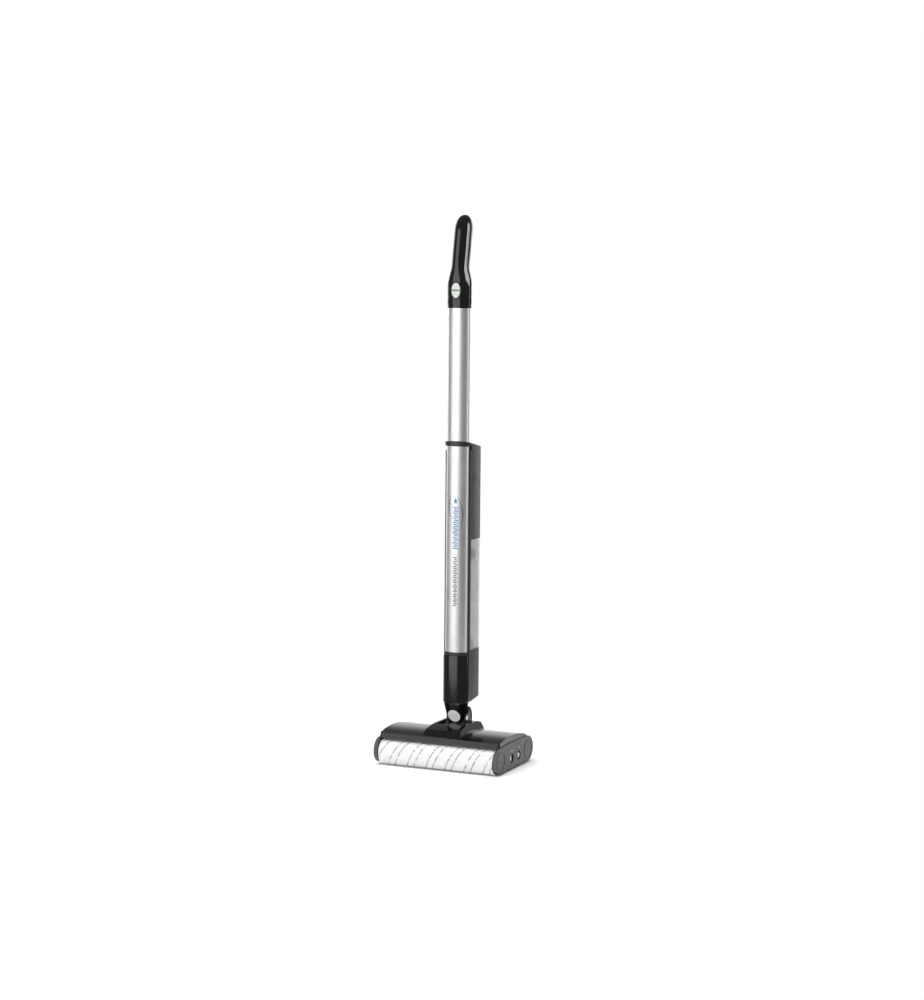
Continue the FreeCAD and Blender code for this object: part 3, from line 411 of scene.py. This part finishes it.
def grown(name, source_bm, tree, body, values, stands_for=()):
    """Runs a node tree on a mesh and keeps the plain result."""
    mesh = bpy.data.meshes.new(name + "_base")
    source_bm.to_mesh(mesh)
    source_bm.free()
    base = bpy.data.objects.new(name + "_base", mesh)
    bpy.context.scene.collection.objects.link(base)
    modifier = base.modifiers.new("grow", "NODES")
    modifier.node_group = tree
    for item in tree.interface.items_tree:
        if item.item_type == "SOCKET" and item.in_out == "INPUT" and item.name in values:
            modifier[item.identifier] = values[item.name]
    bpy.context.view_layer.update()
    result = bpy.data.meshes.new_from_object(base.evaluated_get(bpy.context.evaluated_depsgraph_get()))
    bpy.data.objects.remove(base)
    obj = bpy.data.objects.new(name, result)
    bpy.context.scene.collection.objects.link(obj)
    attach(obj, body)
    if stands_for:
        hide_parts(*stands_for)
    return obj


def drum(x0, x1, y, z, radius, around, along):
    """An open cylinder along X, for the backing of the pile."""
    bm = bmesh.new()
    rows = []
    for i in range(along + 1):
        x = x0 + (x1 - x0) * i / along
        rows.append([bm.verts.new((x, y + radius * math.cos(a), z + radius * math.sin(a)))
                     for a in [2 * math.pi * k / around for k in range(around)]])
    for one, two in zip(rows, rows[1:]):
        for k in range(around):
            bm.faces.new((one[k], one[(k + 1) % around], two[(k + 1) % around], two[k]))
    bmesh.ops.recalc_face_normals(bm, faces=bm.faces)
    return bm


def roller_sleeves():
    """Both sleeves: a backing drum covered in tufts."""
    tree = pile_tree()
    for side, start, seed in (("front", 0.0, 7), ("rear", 0.014, 11)):
        node = side + "_roller_sleeve"
        low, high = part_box(node)
        y, z = (low.y + high.y) / 2, (low.z + high.z) / 2
        skin = microfibre(side + "_microfibre", y, z, start)
        values = {"Finish": skin, "Seed": seed}
        bm = drum(low.x + 1 * MM, high.x - 1 * MM, y, z, ROLLER_R - 1.2 * MM, 72, 40)
        grown(side + "_roller_pile", bm, tree, body_of[node], values, (node,))


roller_sleeves()


# ---------------------------------------------------------------- small fittings
def leaned(bm):
    """Takes a mesh drawn in millimetres in the stick frame to its place."""
    for v in bm.verts:
        v.co = on_stick(*v.co)
    return bm


def bar(centre, size, ease=0.0, segments=2):
    """A block with eased edges, in millimetres."""
    bm = bmesh.new()
    bmesh.ops.create_cube(bm, size=1.0)
    for v in bm.verts:
        v.co = Vector(centre) + Vector([c * d for c, d in zip(v.co, size)])
    if ease:
        bmesh.ops.bevel(bm, geom=bm.edges[:], offset=ease, segments=segments, profile=0.6, affect="EDGES")
    return bm


def repeat_tree():
    """Repeats the given small piece along a line."""
    tree = bpy.data.node_groups.new("repeat_on_line", "GeometryNodeTree")
    face = tree.interface
    face.new_socket("Geometry", in_out="INPUT", socket_type="NodeSocketGeometry")
    face.new_socket("Count", in_out="INPUT", socket_type="NodeSocketInt").default_value = 5
    face.new_socket("Step", in_out="INPUT", socket_type="NodeSocketVector")
    face.new_socket("Finish", in_out="INPUT", socket_type="NodeSocketMaterial")
    face.new_socket("Geometry", in_out="OUTPUT", socket_type="NodeSocketGeometry")
    new, link = tree.nodes.new, tree.links.new
    given, out = new("NodeGroupInput"), new("NodeGroupOutput")
    line = new("GeometryNodeMeshLine")
    link(given.outputs["Count"], line.inputs["Count"])
    link(given.outputs["Step"], line.inputs["Offset"])
    put = new("GeometryNodeInstanceOnPoints")
    real = new("GeometryNodeRealizeInstances")
    coat = new("GeometryNodeSetMaterial")
    link(line.outputs["Mesh"], put.inputs["Points"])
    link(given.outputs["Geometry"], put.inputs["Instance"])
    link(put.outputs["Instances"], real.inputs["Geometry"])
    link(real.outputs["Geometry"], coat.inputs["Geometry"])
    link(given.outputs["Finish"], coat.inputs["Material"])
    link(coat.outputs["Geometry"], out.inputs["Geometry"])
    return tree


REPEAT = repeat_tree()


def stick_row(name, bm, count, step, body, finish_name):
    """A row of one small piece on the stick; bm and step are in millimetres."""
    turn = Matrix.Rotation(-PARK_LEAN, 3, "X")
    values = {"Count": count, "Step": list(turn @ Vector(step) * MM), "Finish": finishes[finish_name]}
    obj = grown(name, leaned(bm), REPEAT, body, values)
    smoothed(obj.data)
    return obj


def head_row(name, bm, count, step, body, finish_name):
    """A row of one small piece on the head; bm and step are in millimetres."""
    for v in bm.verts:
        v.co = v.co * MM
    values = {"Count": count, "Step": [c * MM for c in step], "Finish": finishes[finish_name]}
    obj = grown(name, bm, REPEAT, body, values)
    smoothed(obj.data)
    return obj


def joined(*parts):
    """One mesh from several, all in the same units."""
    whole = bmesh.new()
    for bm in parts:
        mesh = bpy.data.meshes.new("part")
        bm.to_mesh(mesh)
        bm.free()
        whole.from_mesh(mesh)
        bpy.data.meshes.remove(mesh)
    return whole


def screw(centre, radius=2.6, down=(0, 0, -1)):
    """A pan head with a cross recess, its face looking along down; in millimetres."""
    bm = bmesh.new()
    bmesh.ops.create_cone(bm, cap_ends=True, segments=28, radius1=radius, radius2=radius * 0.86, depth=0.8)
    arm = radius * 1.25
    cross = joined(bar((0, 0, 0.42), (arm, 0.6, 0.12)), bar((0, 0, 0.42), (0.6, arm, 0.12)))
    for part, index in ((bm, 0), (cross, 1)):
        for face in part.faces:
            face.material_index = index
    both = joined(bm, cross)
    turn = Vector(down).to_track_quat("Z", "Y").to_matrix()
    for v in both.verts:
        v.co = turn @ v.co + Vector(centre)
    return both


SUNK = -0.05


def panel_point(x, z, lift):
    """A place on the curved front panel, lift millimetres proud of it."""
    half, depth = PANEL_HIGH.x + lift, lift - PANEL_LOW.y
    return (x, -depth * math.sqrt(max(0.0, 1 - (x / half) ** 2)), z)


def panel_patch(outline, lift=0.12):
    """A thin raised print on the front panel inside a closed outline of (x, z), in millimetres."""
    bm = bmesh.new()
    flat = [bm.verts.new((x, 0, z)) for x, z in outline]
    bm.faces.new(flat)
    bmesh.ops.triangulate(bm, faces=bm.faces[:])
    bmesh.ops.subdivide_edges(bm, edges=bm.edges[:], cuts=1)
    solid = bmesh.ops.extrude_face_region(bm, geom=bm.faces[:])
    raised = [v for v in solid["geom"] if isinstance(v, bmesh.types.BMVert)]
    for v in bm.verts:
        v.co = panel_point(v.co.x, v.co.z, SUNK)
    for v in raised:
        v.co = panel_point(v.co.x, v.co.z, lift)
    bmesh.ops.recalc_face_normals(bm, faces=bm.faces)
    return bm


def drop(x, z, size):
    """Outline of a water drop, point upwards."""
    points = []
    for i in range(28):
        a = 2 * math.pi * i / 28
        wide = math.sin(a) * math.sin(a / 2) ** 1.4
        points.append((x + size * 0.75 * wide, z + size * math.cos(a)))
    return points


def panel_ribbon(points, thick, lift=0.12):
    """A thin curved line printed on the panel through (x, z) points, tapering to both ends."""
    fine = []
    for k in range(len(points) - 1):
        before, here = points[max(0, k - 1)], points[k]
        there, after = points[k + 1], points[min(len(points) - 1, k + 2)]
        for i in range(6):
            t = i / 6
            fine.append([0.5 * (2 * b + (c - a) * t + (2 * a - 5 * b + 4 * c - d) * t * t +
                                (3 * b - a - 3 * c + d) * t ** 3)
                         for a, b, c, d in zip(before, here, there, after)])
    fine.append(points[-1])
    bm, rows = bmesh.new(), []
    for k, (x, z) in enumerate(fine):
        width = 0.08 + thick * math.sin(math.pi * k / (len(fine) - 1))
        corners = ((x - width, SUNK), (x + width, SUNK), (x + width, lift), (x - width, lift))
        rows.append([bm.verts.new(panel_point(across, z, out)) for across, out in corners])
    for below, above in zip(rows, rows[1:]):
        for i in range(4):
            bm.faces.new((below[i], below[(i + 1) % 4], above[(i + 1) % 4], above[i]))
    bm.faces.new(rows[0])
    bm.faces.new(rows[-1][::-1])
    bmesh.ops.recalc_face_normals(bm, faces=bm.faces)
    return bm


def bars(low, high, step, middle, half, thick, kind):
    """A column of short bars of uneven length."""
    parts = []
    count = int((high - low) / step)
    for k in range(count):
        z = low + k * step
        a = middle - half * (0.72 + 0.28 * math.sin(k * 2.3 + kind))
        b = middle + half * (0.72 + 0.28 * math.sin(k * 3.7 + 2 * kind))
        parts.append(panel_patch([(a, z), (b, z), (b, z + thick), (a, z + thick)]))
    return parts


PRINT_X = 2.5


def panel_print():
    """Generic water lines and level bars in place of any lettering, measured up from the panel's foot."""
    foot = PANEL_LOW.z
    blue = [panel_patch(drop(PRINT_X, foot + 335, 6.5))]
    blue += bars(foot + 228, foot + 325, 4.1, PRINT_X, 6.8, 2.6, 1.0)
    placed("panel_print_blue", leaned(joined(*blue)), "stick", "motif_blue")
    left_line = ((-9, 348), (-13.5, 329), (-13, 310), (-7, 292))
    right_line = ((4, 348), (14, 328), (18, 306), (16, 282), (14, 254))
    lines = [panel_ribbon([(x, foot + up) for x, up in line], thick)
             for line, thick in ((left_line, 0.8), (right_line, 0.7))]
    placed("panel_print_lines", leaned(joined(*lines)), "stick", "motif_line")
    marks = bars(foot + 103, foot + 215, 3.9, PRINT_X, 5.4, 2.1, 2.0)
    placed("panel_print_marks", leaned(joined(*marks)), "stick", "motif_dark")


SLOT_DROP, SLOT_STEP = 47.7, 4.2
GRIP_DROP, GRIP_STEP = 53.7, 3.4
LIGHT_DROP, LIGHT_STEP, LIGHT_COUNT = 89.7, 4.4, 4
SIDE_RIB_DROP, SIDE_RIB_STEP = 49.7, 4.2
TICK_RISE, TICK_STEP = 49.7, 28
LATCH_RIB_STEP = 2.6


def rear_fittings():
    """Slots, ribs, lights and level ticks on the rear and side faces."""
    rear, top = BATTERY_HIGH.y, BATTERY_HIGH.z
    slot = bar((0, HOUSING_HIGH.y, HOUSING_HIGH.z - SLOT_DROP), (25, 1.1, 1.8), 0.4)
    stick_row("air_slots", slot, 8, (0, 0, SLOT_STEP), "stick", "inner_black")
    rib = bar((0, rear + 0.1, top - GRIP_DROP), (26, 1.0, 1.3), 0.35)
    stick_row("battery_grip_ribs", rib, 6, (0, 0, -GRIP_STEP), "battery", "satin_dark")
    first = -LIGHT_STEP * (LIGHT_COUNT - 1) / 2
    light = bar((first, rear + 0.2, top - LIGHT_DROP), (2.6, 0.5, 2.6), 0.5)
    stick_row("charge_lights", light, LIGHT_COUNT, (LIGHT_STEP, 0, 0), "battery", "led")
    for side, name in ((1, "right"), (-1, "left")):
        tick = bar((side * (TANK_HIGH.x + 0.05), 38, TANK_LOW.z + TICK_RISE), (0.5, 7.0, 0.8), 0.1)
        stick_row(name + "_tank_ticks", tick, 6, (0, 0, TICK_STEP), "tank", "motif_dark")
        rib = bar((side * (TANK_HIGH.x - 0.05), 30, top - SIDE_RIB_DROP), (0.9, 30, 1.4), 0.35)
        stick_row(name + "_battery_ribs", rib, 5, (0, 0, -SIDE_RIB_STEP), "battery", "satin_dark")
    middle = (LATCH_LOW.z + LATCH_HIGH.z) / 2
    ribs = [bar((0, LATCH_HIGH.y + 0.1, middle + k * LATCH_RIB_STEP), (12, 0.5, 0.9), 0.2)
            for k in (-1, 0, 1)]
    placed("latch_ribs", leaned(joined(*ribs)), "battery_latch", "inner_black")


PICKUP_X, PICKUP_Y, PICKUP_LENGTH = 17, 24, 196


def tank_pickup():
    """The pick-up tube inside the tank with its filter at the foot."""
    tube = bmesh.new()
    bmesh.ops.create_cone(tube, cap_ends=True, segments=20, radius1=2.6, radius2=2.6, depth=PICKUP_LENGTH)
    for v in tube.verts:
        v.co += Vector((PICKUP_X, PICKUP_Y, TANK_LOW.z + 3.7 + PICKUP_LENGTH / 2))
    filter_box = bar((PICKUP_X, PICKUP_Y, TANK_LOW.z + 12.7), (15, 22, 17), 1.5)
    placed("tank_pickup", leaned(joined(tube, filter_box)), "tank", "inner_black")


SCREW_ROW_Y, SCREW_STEP = 36, 78
FEET_STEP = 104
BASE_RIB_STEP = 20


def underside():
    """Screws, glide feet and stiffening ribs under the chassis."""
    for way, name in ((-1, "front"), (1, "rear")):
        head = screw((-120, way * SCREW_ROW_Y, BASE_Z - 0.25))
        head_row("base_screws_" + name, head, 4, (SCREW_STEP, 0, 0), "head", "steel")
    foot = bar((-FEET_STEP, 0, BASE_Z - 0.8), (26, 9, 1.4), 0.5)
    head_row("glide_feet", foot, 3, (FEET_STEP, 0, 0), "head", "seal")
    rib = bar((-126, 0, BASE_Z - 0.4), (1.4, 60, 0.9), 0.3)
    head_row("base_ribs", rib, 13, (BASE_RIB_STEP, 0, 0), "head", "inner_black")


MARK_Z = 43.5
RECESS_PLACES = ((-13.5, 1), (23.0, -1))    # across the cap, and the way its arrow points


def end_marks():
    """Small arrow marks over the finger recesses."""
    parts = []
    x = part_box("drawer_end_cap")[1].x / MM - 0.8
    for y, way in RECESS_PLACES:
        bm = bmesh.new()
        corners = [bm.verts.new((x + lift, y + way * a, MARK_Z + b)) for lift in (-0.2, 0.15)
                   for a, b in ((-1.8, -1.7), (1.9, 0), (-1.8, 1.7))]
        for k in range(3):
            bm.faces.new((corners[k], corners[(k + 1) % 3], corners[3 + (k + 1) % 3], corners[3 + k]))
        bm.faces.new(corners[:3])
        bm.faces.new(corners[3:])
        bmesh.ops.recalc_face_normals(bm, faces=bm.faces)
        parts.append(bm)
    bm = joined(*parts)
    for v in bm.verts:
        v.co = v.co * MM
    placed("squeeze_marks", bm, "drawer", "white_plastic")


LAMP_LEAN = math.radians(22)
LAMP_Y, LAMP_Z = -9.6, TILT.z / MM + 6
BEAD_SINK = 0.55
BEAD_RINGS = ((1, 0.0, 2.0), (6, 5.4, 1.5), (11, 10.6, 1.5))    # how many, ring radius, bead radius


def lamp_beads():
    """Small optics behind the lamp's frosted face: one in the middle and two rings."""
    parts = []
    for count, reach, size in BEAD_RINGS:
        for k in range(count):
            a = 2 * math.pi * k / count
            up = reach * math.sin(a)
            bm = bmesh.new()
            bmesh.ops.create_uvsphere(bm, u_segments=14, v_segments=8, radius=size)
            for v in bm.verts:
                v.co.y *= 0.35
                v.co = Matrix.Rotation(LAMP_LEAN, 3, "X") @ v.co
                v.co += Vector((reach * math.cos(a),
                                LAMP_Y - up * math.sin(LAMP_LEAN) - BEAD_SINK * math.cos(LAMP_LEAN),
                                LAMP_Z + up * math.cos(LAMP_LEAN) - BEAD_SINK * math.sin(LAMP_LEAN)))
            parts.append(bm)
    placed("lamp_beads", leaned(joined(*parts)), "stick", "lamp_white")


LIP_DROP = 2.1


def painted_lip_highlight():
    """A pale band along both sides of the tank's top: a painted highlight for the light caught by its glossy top
    lip.
    """
    # painted highlight: a near-white band where the tank's glossy lip catches the light
    parts = [bar((side * (TANK_HIGH.x + 0.1), 29, TANK_HIGH.z - LIP_DROP), (0.7, 42, 1.6), 0.25)
             for side in (-1, 1)]
    placed("painted_lip_highlight", leaned(joined(*parts)), "tank", "lamp_white")


panel_print()
lamp_beads()
painted_lip_highlight()
rear_fittings()
tank_pickup()
underside()
end_marks()


# ---------------------------------------------------------------- studio
AROUND = math.radians(25.31)
DOWN = math.radians(6.634)
AWAY = 5.247
EYE_HEIGHT = 1.193
SIDESTEP = -0.0181
LENS = 87.3
FLOOR_RADIUS = 0.52
FLOOR_CENTRE = (0.12, 0.24, 0)
SUN_POWER = 3.3
SUN_SPREAD = math.radians(70)
SUN_WAY = Vector((0.12, 0.25, -1))
DIM_ROOM = 0.22
# name, degrees to the right of the camera, distance, height, width, height of the panel, watts
STRIPS = (("left_panel", -50, 2.6, 1.0, 2.3, 2.6, 36), ("right_strip", 74, 2.4, 0.9, 0.5, 2.2, 8),
          ("left_rear_strip", -140, 2.6, 1.0, 0.5, 2.2, 7), ("right_rear_strip", 142, 2.6, 1.0, 0.5, 2.2, 7))


def pale_floor():
    """A round patch of pale floor that takes the shadow."""
    bm = bmesh.new()
    bmesh.ops.create_circle(bm, cap_ends=True, segments=96, radius=FLOOR_RADIUS)
    bmesh.ops.translate(bm, vec=FLOOR_CENTRE, verts=bm.verts)
    mesh = bpy.data.meshes.new("floor")
    bm.to_mesh(mesh)
    bm.free()
    floor = bpy.data.objects.new("floor", mesh)
    bpy.context.scene.collection.objects.link(floor)
    mat, tree, skin = new_tree("pale_floor")
    mottle = ranged(tree, noise(tree, 3.0, 3.0), 0, 1)
    pale = two_tone(tree, mottle, (0.92, 0.92, 0.92), (0.94, 0.94, 0.94))
    tree.links.new(pale, skin.inputs["Base Color"])
    skin.inputs["Roughness"].default_value = 0.9
    skin.inputs["Specular IOR Level"].default_value = 0.1
    mesh.materials.append(mat)


def studio_lights():
    """A wide soft light from above, hidden from reflections, and upright panels round the object."""
    soft = bpy.data.lights.new("sky_panel", "SUN")
    soft.energy = SUN_POWER
    soft.angle = SUN_SPREAD
    lamp = bpy.data.objects.new("sky_panel", soft)
    lamp.rotation_euler = SUN_WAY.to_track_quat("-Z", "Y").to_euler()
    lamp.visible_glossy = False
    bpy.context.scene.collection.objects.link(lamp)
    for name, turn, away, height, wide, tall, power in STRIPS:
        data = bpy.data.lights.new(name, "AREA")
        data.shape = "RECTANGLE"
        data.size, data.size_y = wide, tall
        data.energy = power
        light = bpy.data.objects.new(name, data)
        around = AROUND + math.radians(turn)
        light.location = (away * math.sin(around), -away * math.cos(around), height)
        gaze = Vector((0, 0, min(height, 0.7))) - light.location
        light.rotation_euler = gaze.to_track_quat("-Z", "Y").to_euler()
        bpy.context.scene.collection.objects.link(light)


def dot_ramp(tree, direction, start, end):
    """1 where the ray points along direction, falling to 0."""
    place = tree.nodes.new("ShaderNodeTexCoord")
    dot = tree.nodes.new("ShaderNodeVectorMath")
    dot.operation = "DOT_PRODUCT"
    dot.inputs[1].default_value = direction
    tree.links.new(place.outputs["Generated"], dot.inputs[0])
    ease = tree.nodes.new("ShaderNodeMapRange")
    ease.interpolation_type = "SMOOTHSTEP"
    ease.inputs["From Min"].default_value = start
    ease.inputs["From Max"].default_value = end
    tree.links.new(dot.outputs["Value"], ease.inputs["Value"])
    return ease.outputs["Result"]


def studio_world():
    """A white sweep behind the object, fading to a dim room overhead and in front; white where it is seen."""
    world = bpy.data.worlds.new("studio")
    world.use_nodes = True
    tree = world.node_tree
    shade = tree.nodes["Background"]
    behind = dot_ramp(tree, (-math.sin(AROUND), math.cos(AROUND), 0), 0.42, 0.92)
    low = chain(tree, "SUBTRACT", 1.0, dot_ramp(tree, (0, 0, 1), 0.16, 0.52))
    seen = tree.nodes.new("ShaderNodeLightPath").outputs["Is Camera Ray"]
    level = chain(tree, "ADD", chain(tree, "MULTIPLY", behind, low), DIM_ROOM)
    level = chain(tree, "MINIMUM", chain(tree, "ADD", level, seen), 1.0)
    tree.links.new(level, shade.inputs["Strength"])
    shade.inputs["Color"].default_value = (1, 1, 1, 1)
    return world


def camera():
    """Right of the front, at about the height of the handle, looking slightly down."""
    data = bpy.data.cameras.new("camera")
    data.lens = LENS
    data.sensor_width = 36.0
    data.clip_end = 100
    view = bpy.data.objects.new("camera", data)
    side = Vector((math.cos(AROUND), math.sin(AROUND), 0))
    back = Vector((math.sin(AROUND), -math.cos(AROUND), 0))
    view.location = back * AWAY - side * SIDESTEP + Vector((0, 0, EYE_HEIGHT))
    gaze = -back * math.cos(DOWN) - Vector((0, 0, math.sin(DOWN)))
    view.rotation_euler = gaze.to_track_quat("-Z", "Y").to_euler()
    bpy.context.scene.collection.objects.link(view)
    bpy.context.scene.camera = view


pale_floor()
bpy.context.scene.world = studio_world()
studio_lights()
camera()
bpy.context.scene.view_settings.view_transform = "Standard"
